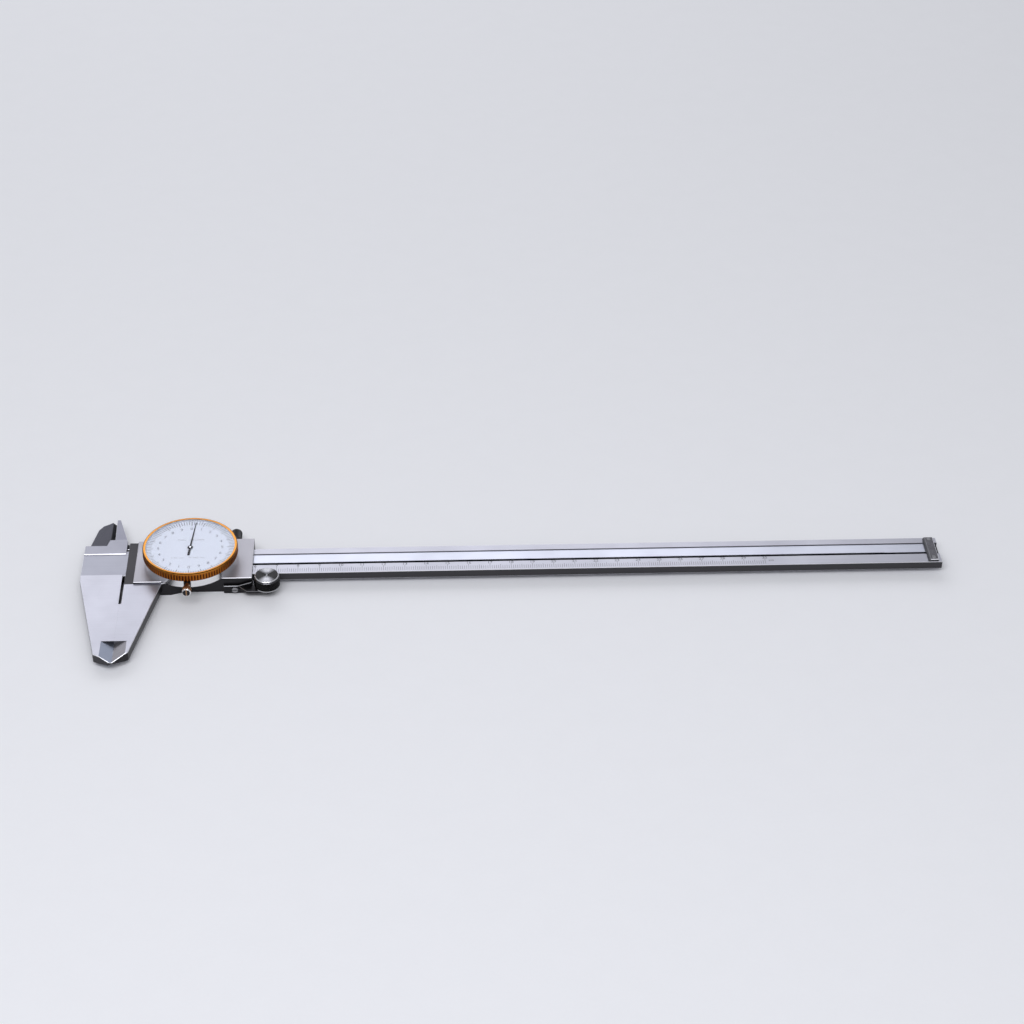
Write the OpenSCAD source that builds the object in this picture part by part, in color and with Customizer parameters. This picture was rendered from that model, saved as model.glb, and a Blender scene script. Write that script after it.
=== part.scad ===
// Dial caliper, 0 to 300 mm, lying on its back with the jaws closed.
// X runs along the beam from the zero plane, Y across it towards the inside jaws, Z out of the dial.
// The origin is where the zero plane crosses the beam's centreline, at the level it lies on.

/* [Beam] */
// Zero plane to the far end of the beam
beam_end_x = 384.8; // [384.8:0.2:400]
// Width of the beam across its two guide edges
beam_w = 19; // [18.9:0.05:19]
// Thickness of the beam
beam_t = 4; // [3.9:0.05:4]

/* [Jaws] */
// Depth of the outside jaws below the beam's centreline
jaw_reach = 71.1; // [70:0.1:80]
// Distance from the zero plane to the left edge of the fixed jaw
jaw_left = 20; // [19:0.1:22]
// Thickness of the outside jaws
jaw_t = 4.5; // [4.5:0.05:4.6]
// Light gap between the closed measuring faces
closed_gap = 0.02; // [0.01:0.01:0.05]

/* [Slider] */
// Slider travel from closed jaws to the end stop
slider_travel = 318; // [300:1:318]
// Thickness of the slider body
slider_t = 7; // [7:0.05:7.2]
// Left edge of the slider body
slider_left = 0.85; // [0.8:0.05:1]
// Right edge of the slider body
slider_right = 59.7; // [59:0.1:59.8]
// Thickness of the cover plate on the slider
plate_t = 1; // [0.8:0.1:1.2]

/* [Dial] */
// Distance from the zero plane to the centre of the dial
dial_x = 30.8; // [30:0.1:31.5]
// Outer radius of the bezel
bezel_r = 22.2; // [22:0.1:23]
// Height of the bezel
bezel_h = 4.25; // [4.2:0.05:4.4]
// Radius of the dial face
face_r = 20.65; // [20.4:0.05:20.7]
// How far clockwise of twelve o'clock the needle rests
needle_rest_angle = 4.7; // [0:0.1:20]

/* [Movement] */
// Pitch of the rack teeth
rack_pitch = 0.5; // [0.49:0.005:0.51]
// Teeth on the pinion that runs on the rack
rack_pinion_teeth = 8; // [8:1:8]
// Teeth on the drive gear
drive_teeth = 48; // [48:1:48]
// Teeth on the centre pinion that carries the needle
centre_teeth = 24; // [24:1:24]
// Module of the drive gear and centre pinion
gear_module = 0.2; // [0.19:0.005:0.2]

/* [Thumb roller] */
// Radius of the thumb roller
roller_r = 5.96; // [5.9:0.01:6.1]
// Distance from the zero plane to the roller's axis
roller_x = 66.8; // [66.5:0.1:67]

/* [Hidden] */
$fn = 96;

steel = [0.78, 0.78, 0.79];
bright_steel = [0.88, 0.88, 0.9];
dark_steel = [0.35, 0.35, 0.37];
gold = [0.83, 0.55, 0.15];
brass = [0.8, 0.65, 0.3];

// Gap of the sliding and running fits
fit_gap = 0.05;
overshoot = 1;
pressure_angle = 20;

// Levels, counted from the surface that the slider's back lies on
beam_back_z = 2.5;
beam_front_z = beam_back_z + beam_t;
beam_edge = beam_w / 2;
jaw_back_z = beam_back_z;
jaw_front_z = jaw_back_z + jaw_t;
blade_split_z = 5;
plate_top_z = slider_t + plate_t;

// Slider plan: both long edges step up a little between the jaw end and the other end, along a slope
slider_bottom_left = -16.5;
slider_bottom_right = -14.5;
slider_top_left = 15;
slider_top_right = 15.8;
slope_start_x = 22;
slope_end_x = 28;
plate_left = 5.1;

// Channel that the beam and the gib run in
gib_t = 1.2;
channel_top = beam_edge + 2 * fit_gap + gib_t;
channel_bottom = -beam_edge - fit_gap;
channel_floor_z = 1.5;
channel_roof_z = beam_front_z + fit_gap;
rebate = [3, -12.5, 57.6, 13.3];
back_plate_t = 1.5;

// Rack channel along the beam's front
rack_channel_bottom = -2.8;
rack_channel_top = 5.2;
rack_channel_start = 20;
rack_channel_depth = 1.5;
rack_channel_z = beam_front_z - rack_channel_depth;
rack_tip_y = -1.3;
rack_t = 1.2;
rack_end_gap = 1.2;

// Stop at the beam's far end
stop_left = 378.2;
stop_right = 383;
stop_top_z = 8;
stop_top_y = 8;
stop_screw_x = 380.8;
stop_pocket_z = 7.4;

// Rack pinion: a small involute pinion, shifted outwards so that its teeth are not undercut
rack_module = rack_pitch / PI;
pinion_shift = 0.5;
tooth_addendum = 0.8;
tooth_dedendum = 1.1;
tooth_thinning = 0.05;
rack_pinion_pitch_r = rack_pinion_teeth * rack_module / 2;
rack_pinion_y = rack_tip_y + rack_module * (tooth_addendum - pinion_shift) - rack_pinion_pitch_r;
gear_centre_distance = gear_module * (drive_teeth + centre_teeth) / 2;
rack_pinion_x = dial_x + sqrt(pow(gear_centre_distance, 2) - pow(rack_pinion_y, 2));
drive_direction = atan2(rack_pinion_y, rack_pinion_x - dial_x);
rack_margin = 3;
rack_tooth_count = ceil((slider_travel + 2 * rack_margin) / rack_pitch);

// Dial levels
housing_r = 20.9;
housing_wall = 1.5;
housing_floor_t = 1.2;
housing_top_z = 14;
bezel_bottom_z = 12.15;
bezel_top_z = bezel_bottom_z + bezel_h;
bezel_bore_r = housing_r + 0.08;
ledge_z = 14.2;
face_z = 14.5;
face_t = 0.4;
crystal_z = 15.75;
crystal_t = 0.5;
// The face and the crystal drop into the bezel with this much room round them
seat_gap = 0.02;
needle_z = 15.2;
needle_t = 0.1;
movement_z = plate_top_z + housing_floor_t;
movement_plate_t = 0.8;
gear_z = 10.2;
gear_t = 0.35;
bridge_z = 11.8;
bridge_t = 0.8;
arbor_r = 0.4;
bush_r = 1;
bush_bore_r = 0.43;
bridge_x = 33.5;
bridge_y = -1.2;
bridge_r = 11.2;
pillar_ring_r = 9.6;
pillar_angles = [60, 180, 290];
housing_screw_dx = 10;
housing_screw_dy = 13;
movement_screw_ring_r = 12.4;
movement_screw_angles = [90, 200, 320];

// Retaining ring between the housing and the bezel
ring_groove_z = 13.17;
ring_groove_h = 0.61;
ring_groove_r = 20.4;

// Bezel clamp
clamp_x = 30.6;
clamp_z = 10.5;

// Lock screw
lock_x = 50.6;
lock_z = 4.5;

// Thumb roller
roller_gap = 0.02;
roller_y = -beam_edge - roller_gap - roller_r;
roller_bottom_z = 4.1;
roller_top_z = 10.3;
stud_r = 1.5;
clip_groove_r = 1.1;
clip_groove_z = 1.98;
clip_groove_h = 0.44;
arm_z = 2.55;
arm_t = 1.4;
arm_tab_t = 1.4;
arm_tab_front = slider_bottom_right - arm_tab_t;
arm_screw_x = 51.8;
arm_screw_z = 2.7;

// Depth rod
rod_half_w = 1.85;
rod_foot = [50, 56];
rod_screw_x = 53;
rod_groove_depth = 1.2;

// Outlines, seen from the front
slider_outline = [
    [slider_left, slider_bottom_left],
    [slope_start_x, slider_bottom_left],
    [slope_end_x, slider_bottom_right],
    [slider_right, slider_bottom_right],
    [slider_right, slider_top_right],
    [slope_end_x, slider_top_right],
    [slope_start_x, slider_top_left],
    [slider_left, slider_top_left]
];
face_top_y = -31.2;
fixed_jaw_outline = [
    [-jaw_left, 12.8],
    [-jaw_left, -13],
    [-8.6, 3.9 - jaw_reach],
    [-1.2, -jaw_reach],
    [0, 0.3 - jaw_reach],
    [0, face_top_y],
    [-0.5, face_top_y],
    [-0.5, -beam_edge],
    [-0.3, beam_edge],
    [-0.3, 12.8]
];
fixed_blade_outline = [
    [-jaw_left, 12.7],
    [-0.3, 12.7],
    [-0.4, 17.2],
    [-5.1, 33.9],
    [-6.8, 33.9],
    [-6.4, 18.1],
    [-8.8, 17.9],
    [-9.9, 13.5],
    [-jaw_left, 13.5]
];
moving_jaw_outline = [
    [closed_gap, face_top_y],
    [closed_gap, 0.3 - jaw_reach],
    [7, 4.9 - jaw_reach],
    [18.1, slider_bottom_left],
    [18.1, slider_bottom_left + 1],
    [slider_left, slider_bottom_left + 1],
    [slider_left, face_top_y]
];
moving_blade_outline = [
    [-18.8, 13],
    [3.5, 13],
    [3.5, 15],
    [-0.6, 17],
    [-6.4, 17],
    [-6.4, 33.6],
    [-9.3, 34.6],
    [-10.6, 33.6],
    [-13.3, 32],
    [-15.4, 28.8],
    [-18, 16.9]
];
band_bottom = -9.1;
band_top = 6.8;
blade_gap = 0.1;
moving_blade_t = blade_split_z - blade_gap - jaw_back_z;
bevel_start_y = -58;
bevel_w = 5.8;
front_bevel = 2.1;
back_bevel = 1.3;

// Half the angle that a gear tooth spans at radius r, in degrees
function involute(base_r, r) = tan(acos(base_r / r)) * 180 / PI - acos(base_r / r);
function tooth_half_angle(pitch_r, r, shift, module_size) =
    (PI * module_size / 2 + 2 * shift * module_size * tan(pressure_angle) - tooth_thinning)
        / (2 * pitch_r) * 180 / PI
    + involute(pitch_r * cos(pressure_angle), pitch_r)
    - involute(pitch_r * cos(pressure_angle), r);

// Outline of an involute gear with one tooth centred on +X
function gear_outline(teeth, module_size, shift) =
    let (
        pitch_r = teeth * module_size / 2,
        base_r = pitch_r * cos(pressure_angle),
        tip_r = pitch_r + module_size * (tooth_addendum + shift),
        root_r = pitch_r - module_size * (tooth_dedendum - shift),
        start_r = max(base_r + 0.001, root_r),
        flank = [for (i = [0:3]) start_r + (tip_r - start_r) * i / 3],
        root_half = tooth_half_angle(pitch_r, start_r, shift, module_size),
        radii = concat([root_r - 0.01], flank),
        halves = concat([root_half], [for (r = flank) tooth_half_angle(pitch_r, r, shift, module_size)]),
        count = len(radii)
    )
    [for (tooth = [0:teeth - 1]) for (k = [0:2 * count - 1])
        let (
            rising = k < count,
            i = rising ? k : 2 * count - 1 - k,
            angle = tooth * 360 / teeth + (rising ? -halves[i] : halves[i])
        )
        [radii[i] * cos(angle), radii[i] * sin(angle)]];

module gear_disc(teeth, module_size, shift, thickness) {
    linear_extrude(thickness) polygon(gear_outline(teeth, module_size, shift));
}

// Prism along Y from y_from down to y_to, of an outline given in X and Z
module prism_y(outline, y_from, y_to) {
    translate([0, y_from, 0])
        rotate([90, 0, 0])
            linear_extrude(y_from - y_to)
                polygon(outline);
}

// Screw with its head's underside at z = 0 and its shank below
module pan_screw(head_r, head_h, shank_r, shank_l) {
    slot_w = head_r / 3;
    difference() {
        union() {
            cylinder(h = head_h, r = head_r);
            translate([0, 0, -shank_l]) cylinder(h = shank_l + 0.1, r = shank_r);
        }
        translate([-head_r - 1, -slot_w / 2, head_h * 0.5]) cube([2 * head_r + 2, slot_w, head_h]);
    }
}

// Countersunk screw with its flat top at z = 0 and its shank below
module flat_screw(head_r, head_h, shank_r, shank_l) {
    slot_w = head_r / 3;
    difference() {
        union() {
            translate([0, 0, -head_h]) cylinder(h = head_h, r1 = shank_r, r2 = head_r);
            translate([0, 0, -shank_l]) cylinder(h = shank_l - head_h + 0.05, r = shank_r);
        }
        translate([-head_r - 1, -slot_w / 2, -head_h * 0.45]) cube([2 * head_r + 2, slot_w, head_h]);
    }
}

module housing_screw_places() {
    for (dx = [-housing_screw_dx, housing_screw_dx], dy = [-housing_screw_dy, housing_screw_dy])
        translate([dial_x + dx, dy, 0]) children();
}

module back_screw_places() {
    for (x = [7.5, 53.5], y = [-11.1, 12.05])
        translate([x, y, 0]) children();
}

module gib_screw_places() {
    for (x = [12, 34])
        translate([x, channel_top, lock_z]) rotate([-90, 0, 0]) children();
}

module end_screw_places() {
    for (y = [-7.6, 6.5])
        translate([stop_screw_x, y, 0]) children();
}

module pillar_places() {
    for (angle = pillar_angles)
        translate([bridge_x + pillar_ring_r * cos(angle), bridge_y + pillar_ring_r * sin(angle), 0])
            children();
}

module movement_screw_places() {
    for (angle = movement_screw_angles)
        translate([dial_x, 0, 0]) rotate(angle) translate([movement_screw_ring_r, 0, 0]) children();
}

module arbor_places() {
    translate([dial_x, 0, 0]) children();
    translate([rack_pinion_x, rack_pinion_y, 0]) children();
}

// Slopes ground on the outside jaws near their tips, front and back
module tip_bevels() {
    for (side = [-1, 1]) {
        prism_y([[side * bevel_w, jaw_front_z], [0, jaw_front_z - front_bevel],
            [0, jaw_front_z + overshoot], [side * bevel_w, jaw_front_z + overshoot]],
            bevel_start_y, -jaw_reach - overshoot);
        prism_y([[side * bevel_w, jaw_back_z], [0, jaw_back_z + back_bevel],
            [0, jaw_back_z - overshoot], [side * bevel_w, jaw_back_z - overshoot]],
            bevel_start_y, -jaw_reach - overshoot);
    }
}

module beam() {
    color(steel)
    difference() {
        union() {
            translate([-jaw_left, -beam_edge, beam_back_z]) cube([beam_end_x + jaw_left, beam_w, beam_t]);
            translate([0, 0, jaw_back_z]) linear_extrude(jaw_t) polygon(fixed_jaw_outline);
            translate([0, 0, blade_split_z])
                linear_extrude(jaw_front_z - blade_split_z) polygon(fixed_blade_outline);
        }
        // Ground band that carries the beam's front level across the jaw
        translate([-jaw_left - overshoot, band_bottom, beam_front_z])
            cube([jaw_left + 2, band_top - band_bottom, 1]);
        // Channel for the rack, open at the beam's end
        translate([rack_channel_start, rack_channel_bottom, rack_channel_z])
            cube([beam_end_x, rack_channel_top - rack_channel_bottom, rack_channel_depth + overshoot]);
        // Groove for the depth rod in the back
        translate([40, -rod_half_w - fit_gap, beam_back_z - overshoot])
            cube([beam_end_x, 2 * (rod_half_w + fit_gap), rod_groove_depth + overshoot]);
        tip_bevels();
        // Back of the fixed inside jaw, ground to a measuring edge
        prism_y([[-4.6, blade_split_z], [-7.2, blade_split_z + 1.5], [-7.2, blade_split_z - 1]],
            36, 18);
        end_screw_places() translate([0, 0, 4]) cylinder(h = 4, r = 0.62);
    }
}

module rack() {
    tooth_pitch_half = rack_pitch / 4 - tooth_thinning / 4;
    flank_slope = rack_module * tan(pressure_angle);
    tooth_top_half = tooth_pitch_half - tooth_addendum * flank_slope;
    tooth_root_half = tooth_pitch_half + tooth_dedendum * flank_slope;
    root_y = rack_tip_y + rack_module * (tooth_addendum + tooth_dedendum);
    first_x = rack_pinion_x - (floor(rack_margin / rack_pitch) + 0.5) * rack_pitch;
    last_x = first_x + (rack_tooth_count - 1) * rack_pitch;
    rack_left = rack_channel_start + 0.2;
    rack_right = beam_end_x - rack_end_gap;
    teeth = [for (i = [0:rack_tooth_count - 1]) each [
        [first_x + i * rack_pitch - tooth_root_half, root_y],
        [first_x + i * rack_pitch - tooth_top_half, rack_tip_y],
        [first_x + i * rack_pitch + tooth_top_half, rack_tip_y],
        [first_x + i * rack_pitch + tooth_root_half, root_y]
    ]];
    color(bright_steel)
    translate([0, 0, rack_channel_z])
        linear_extrude(rack_t)
            polygon(concat(
                [[rack_left, rack_channel_top], [rack_left, rack_tip_y], [first_x - rack_pitch, rack_tip_y],
                    [first_x - rack_pitch, root_y]],
                teeth,
                [[last_x + rack_pitch, root_y], [last_x + rack_pitch, rack_tip_y], [rack_right, rack_tip_y],
                    [rack_right, rack_channel_top]]));
}

module end_stop() {
    color(steel)
    difference() {
        prism_y([[stop_left, beam_front_z], [stop_right, beam_front_z], [stop_right, stop_top_z],
            [stop_left + 0.8, stop_top_z], [stop_left, stop_top_z - 0.7]], stop_top_y, -beam_edge);
        end_screw_places() {
            translate([0, 0, 6]) cylinder(h = 3, r = 0.62);
            translate([0, 0, stop_pocket_z]) cylinder(h = 1, r = 1.05);
        }
    }
}

module end_stop_screws() {
    color(bright_steel)
    end_screw_places() translate([0, 0, stop_pocket_z]) pan_screw(1, 0.65, 0.6, 3.3);
}

module slider_body() {
    color(steel)
    difference() {
        union() {
            linear_extrude(slider_t) polygon(slider_outline);
            translate([0, 0, jaw_back_z]) linear_extrude(jaw_t) polygon(moving_jaw_outline);
            translate([0, 0, jaw_back_z]) linear_extrude(moving_blade_t) polygon(moving_blade_outline);
        }
        // Channel for the beam and gib
        translate([-overshoot, channel_bottom, channel_floor_z])
            cube([slider_right + 2 * overshoot, channel_top - channel_bottom,
                channel_roof_z - channel_floor_z]);
        // Rebate for the back plate
        translate([rebate[0], rebate[1], -overshoot])
            cube([rebate[2] - rebate[0], rebate[3] - rebate[1], back_plate_t + overshoot]);
        tip_bevels();
        // Measuring edge of the moving inside jaw, sloped on its front
        prism_y([[-8.9, jaw_back_z + moving_blade_t], [-6.3, jaw_back_z + 0.7],
            [-6.3, blade_split_z + 1], [-8.9, blade_split_z + 1]], 36, 18.2);
        translate([rack_pinion_x, rack_pinion_y, beam_front_z]) cylinder(h = 2, r = 1.3);
        housing_screw_places() translate([0, 0, 4]) cylinder(h = 4, r = 0.82);
        back_screw_places() translate([0, 0, 1]) cylinder(h = 3, r = 0.72);
        gib_screw_places() translate([0, 0, -0.5]) cylinder(h = 7, r = 0.82);
        translate([lock_x, channel_top - 0.5, lock_z]) rotate([-90, 0, 0]) cylinder(h = 7, r = 1.3);
        translate([arm_screw_x, slider_bottom_right + 1.9, arm_screw_z])
            rotate([90, 0, 0]) cylinder(h = 4, r = 0.72);
    }
}

module cover_plate() {
    color(bright_steel)
    difference() {
        translate([0, 0, slider_t]) linear_extrude(plate_t) intersection() {
            polygon(slider_outline);
            translate([plate_left, -50]) square([100, 100]);
        }
        translate([rack_pinion_x, rack_pinion_y, slider_t - 1]) cylinder(h = plate_t + 2, r = 1.3);
        housing_screw_places() translate([0, 0, slider_t - 1]) cylinder(h = plate_t + 2, r = 0.85);
    }
}

module back_plate() {
    color(steel)
    difference() {
        union() {
            translate([rebate[0] + fit_gap, rebate[1] + fit_gap, 0])
                cube([rebate[2] - rebate[0] - 2 * fit_gap, rebate[3] - rebate[1] - 2 * fit_gap,
                    back_plate_t]);
            translate([rebate[0] + fit_gap, channel_bottom + fit_gap, back_plate_t - 0.5])
                cube([rebate[2] - rebate[0] - 2 * fit_gap, channel_top - channel_bottom - 2 * fit_gap,
                    beam_back_z - fit_gap - back_plate_t + 0.5]);
        }
        // Pocket for the depth rod's foot
        translate([rod_foot[0] - fit_gap, -rod_half_w - fit_gap, back_plate_t])
            cube([rod_foot[1] - rod_foot[0] + 2 * fit_gap, 2 * (rod_half_w + fit_gap), 2]);
        back_screw_places() {
            translate([0, 0, -overshoot]) cylinder(h = 4, r = 0.75);
            translate([0, 0, -0.01]) cylinder(h = 0.8, r1 = 1.45, r2 = 0.75);
        }
        translate([rod_screw_x, 0, 0]) {
            translate([0, 0, -overshoot]) cylinder(h = 4, r = 0.75);
            translate([0, 0, -0.01]) cylinder(h = 0.8, r1 = 1.45, r2 = 0.75);
        }
    }
}

module back_plate_screws() {
    color(bright_steel)
    back_screw_places() translate([0, 0, 0.05]) mirror([0, 0, 1]) flat_screw(1.3, 0.7, 0.7, 3.6);
}

module gib_strip() {
    color(brass)
    translate([rebate[0], beam_edge + fit_gap, beam_back_z + fit_gap])
        cube([rebate[2] - rebate[0], gib_t, beam_t - 2 * fit_gap]);
}

module gib_screws() {
    slot_w = 0.4;
    color(dark_steel)
    gib_screw_places() difference() {
        cylinder(h = 3.8, r = 0.8);
        translate([-2, -slot_w / 2, 3.2]) cube([4, slot_w, 1]);
    }
}

module depth_rod() {
    color(bright_steel)
    difference() {
        union() {
            translate([rod_foot[0], -rod_half_w, beam_back_z + fit_gap])
                cube([beam_end_x - rod_foot[0], 2 * rod_half_w, rod_groove_depth - 2 * fit_gap]);
            translate([rod_foot[0], -rod_half_w, back_plate_t])
                cube([rod_foot[1] - rod_foot[0], 2 * rod_half_w, 1.5]);
        }
        translate([rod_screw_x, 0, 1]) cylinder(h = 2, r = 0.72);
    }
}

module depth_rod_screw() {
    color(bright_steel)
    translate([rod_screw_x, 0, 0.05]) mirror([0, 0, 1]) flat_screw(1.3, 0.7, 0.7, 2.85);
}

module roller_arm() {
    tab_left = 46.5;
    tab_right = 59.6;
    tab_bottom_z = 0.2;
    tab_low_z = 4.3;
    tab_high_z = 6.3;
    web_left = 53.6;
    web_r = 4.2;
    color(dark_steel)
    difference() {
        union() {
            // Tab against the slider's lower edge, rising towards the roller
            prism_y([[tab_left, tab_bottom_z], [tab_right, tab_bottom_z], [tab_right, tab_high_z],
                [web_left - 0.4, tab_low_z], [tab_left, tab_low_z]], slider_bottom_right, arm_tab_front);
            // Web that reaches out under the roller
            translate([0, 0, arm_z]) linear_extrude(arm_t) polygon([
                [web_left, arm_tab_front + 1], [web_left, arm_tab_front], [57.5, roller_y - web_r],
                [roller_x, roller_y - web_r], [roller_x, roller_y + web_r],
                [tab_right + 0.8, roller_y + web_r], [tab_right + 0.8, arm_tab_front + 1]]);
            translate([roller_x, roller_y, arm_z]) cylinder(h = arm_t, r = web_r);
        }
        translate([roller_x, roller_y, 0]) cylinder(h = 6, r = stud_r + 0.03);
        translate([arm_screw_x, slider_bottom_right + 1, arm_screw_z])
            rotate([90, 0, 0]) cylinder(h = 4, r = 0.72);
    }
}

module roller_arm_screw() {
    color(bright_steel)
    translate([arm_screw_x, arm_tab_front, arm_screw_z])
        rotate([90, 0, 0]) pan_screw(1.4, 1.1, 0.7, 3.2);
}

module dial_housing() {
    color(steel)
    difference() {
        translate([dial_x, 0, plate_top_z]) difference() {
            cylinder(h = housing_top_z - plate_top_z, r = housing_r);
            translate([0, 0, housing_floor_t])
                cylinder(h = housing_top_z, r = housing_r - housing_wall);
            translate([0, 0, -overshoot]) cylinder(h = 5, r = 10);
        }
        // Groove for the retaining ring
        translate([dial_x, 0, ring_groove_z]) difference() {
            cylinder(h = ring_groove_h, r = housing_r + 1);
            translate([0, 0, -overshoot]) cylinder(h = 4, r = ring_groove_r);
        }
        housing_screw_places() translate([0, 0, plate_top_z - 1]) cylinder(h = 4, r = 0.85);
        movement_screw_places() translate([0, 0, plate_top_z - 1]) cylinder(h = 4, r = 0.52);
        translate([clamp_x, -15, clamp_z]) rotate([90, 0, 0]) cylinder(h = 10, r = 0.83);
    }
}

module housing_screws() {
    color(bright_steel)
    housing_screw_places() translate([0, 0, movement_z]) pan_screw(1.4, 0.9, 0.8, 4.6);
}

module movement_plate() {
    color(brass)
    difference() {
        translate([dial_x, 0, movement_z]) cylinder(h = movement_plate_t, r = 14.4);
        arbor_places() translate([0, 0, movement_z - 1]) cylinder(h = 4, r = bush_r);
        movement_screw_places() translate([0, 0, movement_z - 1]) cylinder(h = 4, r = 0.55);
        pillar_places() translate([0, 0, movement_z - 1]) cylinder(h = 4, r = 0.5);
    }
}

module movement_screws() {
    color(bright_steel)
    movement_screw_places() translate([0, 0, movement_z + movement_plate_t]) pan_screw(0.95, 0.6, 0.5, 1.9);
}

module lower_bushes() {
    color(gold)
    arbor_places() translate([0, 0, movement_z]) difference() {
        cylinder(h = movement_plate_t, r = bush_r);
        translate([0, 0, -overshoot]) cylinder(h = 4, r = bush_bore_r);
    }
}

module bridge_pillars() {
    color(bright_steel)
    pillar_places() {
        translate([0, 0, movement_z + movement_plate_t])
            cylinder(h = bridge_z - movement_z - movement_plate_t, r = 1);
        translate([0, 0, movement_z + 0.1]) cylinder(h = 1, r = 0.48);
    }
}

module movement_bridge() {
    color(brass)
    difference() {
        translate([bridge_x, bridge_y, bridge_z]) cylinder(h = bridge_t, r = bridge_r);
        arbor_places() translate([0, 0, bridge_z - 1]) cylinder(h = 4, r = bush_r);
        pillar_places() translate([0, 0, bridge_z - 1]) cylinder(h = 4, r = 0.55);
    }
}

module bridge_screws() {
    color(dark_steel)
    pillar_places() translate([0, 0, bridge_z + bridge_t]) pan_screw(1.1, 0.6, 0.5, bridge_t);
}

module upper_bushes() {
    color(gold)
    arbor_places() translate([0, 0, bridge_z]) difference() {
        cylinder(h = bridge_t, r = bush_r);
        translate([0, 0, -overshoot]) cylinder(h = 4, r = bush_bore_r);
    }
}

module bezel_retaining_ring() {
    color(bright_steel)
    translate([dial_x, 0, ring_groove_z + 0.08]) difference() {
        cylinder(h = ring_groove_h - 0.16, r = bezel_bore_r + 0.32);
        translate([0, 0, -overshoot]) cylinder(h = 4, r = ring_groove_r + 0.05);
        translate([-1.5, 15, -overshoot]) cube([3, 10, 4]);
    }
}

module bezel_clamp_shoe() {
    shoe_h = 2.85;
    color(dark_steel)
    difference() {
        translate([clamp_x - 1.6, -housing_r - 1.5, bezel_bottom_z - 0.1 - shoe_h])
            cube([3.2, 1.45, shoe_h]);
        translate([clamp_x, -15, clamp_z]) rotate([90, 0, 0]) cylinder(h = 10, r = 0.83);
    }
}

module bezel_clamp_screw() {
    head_y = -housing_r - 1.55;
    head_r = 2.15;
    slot_w = 0.6;
    color(gold)
    translate([clamp_x, head_y, clamp_z]) rotate([90, 0, 0]) difference() {
        union() {
            cylinder(h = 2.6, r = 1.3);
            translate([0, 0, 2.5]) cylinder(h = 3, r = head_r);
            translate([0, 0, 5.5]) cylinder(h = 0.5, r1 = head_r, r2 = head_r - 0.5);
            translate([0, 0, -2.8]) cylinder(h = 3, r = 0.8);
        }
        translate([-slot_w / 2, -3, 5.3]) cube([slot_w, 6, 2]);
    }
}

module lock_screw() {
    color(dark_steel)
    translate([lock_x, channel_top + 0.1, lock_z]) rotate([-90, 0, 0]) {
        cylinder(h = 7, r = 1.25);
        translate([0, 0, 6]) cylinder(h = 1.4, r = 2);
        translate([0, 0, 7.4]) cylinder(h = 0.6, r1 = 2.1, r2 = 2.7);
        translate([0, 0, 8]) cylinder(h = 6.1, r = 2.7);
        translate([0, 0, 14.1]) cylinder(h = 0.7, r1 = 2.7, r2 = 2);
    }
}

module thumb_roller() {
    shoulder_z = 9.05;
    shoulder_bevel = 0.3;
    groove_top_z = 9.6;
    groove_r = 5.3;
    cap_r = 5.62;
    cap_bevel = 0.35;
    stud_z = 1.6;
    color(bright_steel)
    translate([roller_x, roller_y, 0]) rotate_extrude() polygon([
        [0, stud_z], [stud_r - 0.2, stud_z], [stud_r, stud_z + 0.2],
        [stud_r, clip_groove_z], [clip_groove_r, clip_groove_z],
        [clip_groove_r, clip_groove_z + clip_groove_h], [stud_r, clip_groove_z + clip_groove_h],
        [stud_r, roller_bottom_z], [roller_r - 0.3, roller_bottom_z], [roller_r, roller_bottom_z + 0.3],
        [roller_r, shoulder_z], [roller_r - shoulder_bevel, shoulder_z + shoulder_bevel],
        [groove_r, shoulder_z + shoulder_bevel], [groove_r, groove_top_z], [cap_r, groove_top_z],
        [cap_r, roller_top_z - cap_bevel], [cap_r - cap_bevel, roller_top_z], [0, roller_top_z]]);
}

module roller_clip() {
    color(dark_steel)
    translate([roller_x, roller_y, clip_groove_z + 0.04]) difference() {
        cylinder(h = clip_groove_h - 0.08, r = 2.5);
        translate([0, 0, -overshoot]) cylinder(h = 4, r = clip_groove_r + 0.02);
        translate([-0.9, -4, -overshoot]) cube([1.8, 4, 4]);
    }
}

module bezel_ring() {
    color(gold)
    translate([dial_x, 0, 0]) rotate_extrude() polygon([
        [bezel_bore_r, bezel_bottom_z], [bezel_r - 0.25, bezel_bottom_z], [bezel_r, bezel_bottom_z + 0.25],
        [bezel_r, bezel_top_z - 0.45], [bezel_r - 0.45, bezel_top_z], [face_r, bezel_top_z],
        [face_r, face_z], [face_r - 1.05, face_z], [face_r - 1.05, ledge_z], [bezel_bore_r, ledge_z],
        [bezel_bore_r, ring_groove_z + ring_groove_h], [bezel_bore_r + 0.42, ring_groove_z + ring_groove_h],
        [bezel_bore_r + 0.42, ring_groove_z], [bezel_bore_r, ring_groove_z]]);
}

module crystal() {
    color([0.9, 0.95, 1, 0.3])
    translate([dial_x, 0, crystal_z]) cylinder(h = crystal_t, r = face_r - seat_gap);
}

module dial_face() {
    color([0.96, 0.96, 0.95])
    translate([dial_x, 0, face_z]) difference() {
        cylinder(h = face_t, r = face_r - seat_gap);
        translate([0, 0, -overshoot]) cylinder(h = 4, r = 0.9);
    }
}

module rack_pinion() {
    pinion_z = rack_channel_z + 0.1;
    pinion_h = 1;
    color(bright_steel)
    translate([rack_pinion_x, rack_pinion_y, 0]) {
        translate([0, 0, pinion_z]) rotate(90)
            gear_disc(rack_pinion_teeth, rack_module, pinion_shift, pinion_h);
        translate([0, 0, pinion_z + 0.1]) cylinder(h = bridge_z + bridge_t - pinion_z, r = arbor_r);
        translate([0, 0, movement_z + movement_plate_t + 0.03]) cylinder(h = 0.15, r = 0.75);
    }
}

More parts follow.
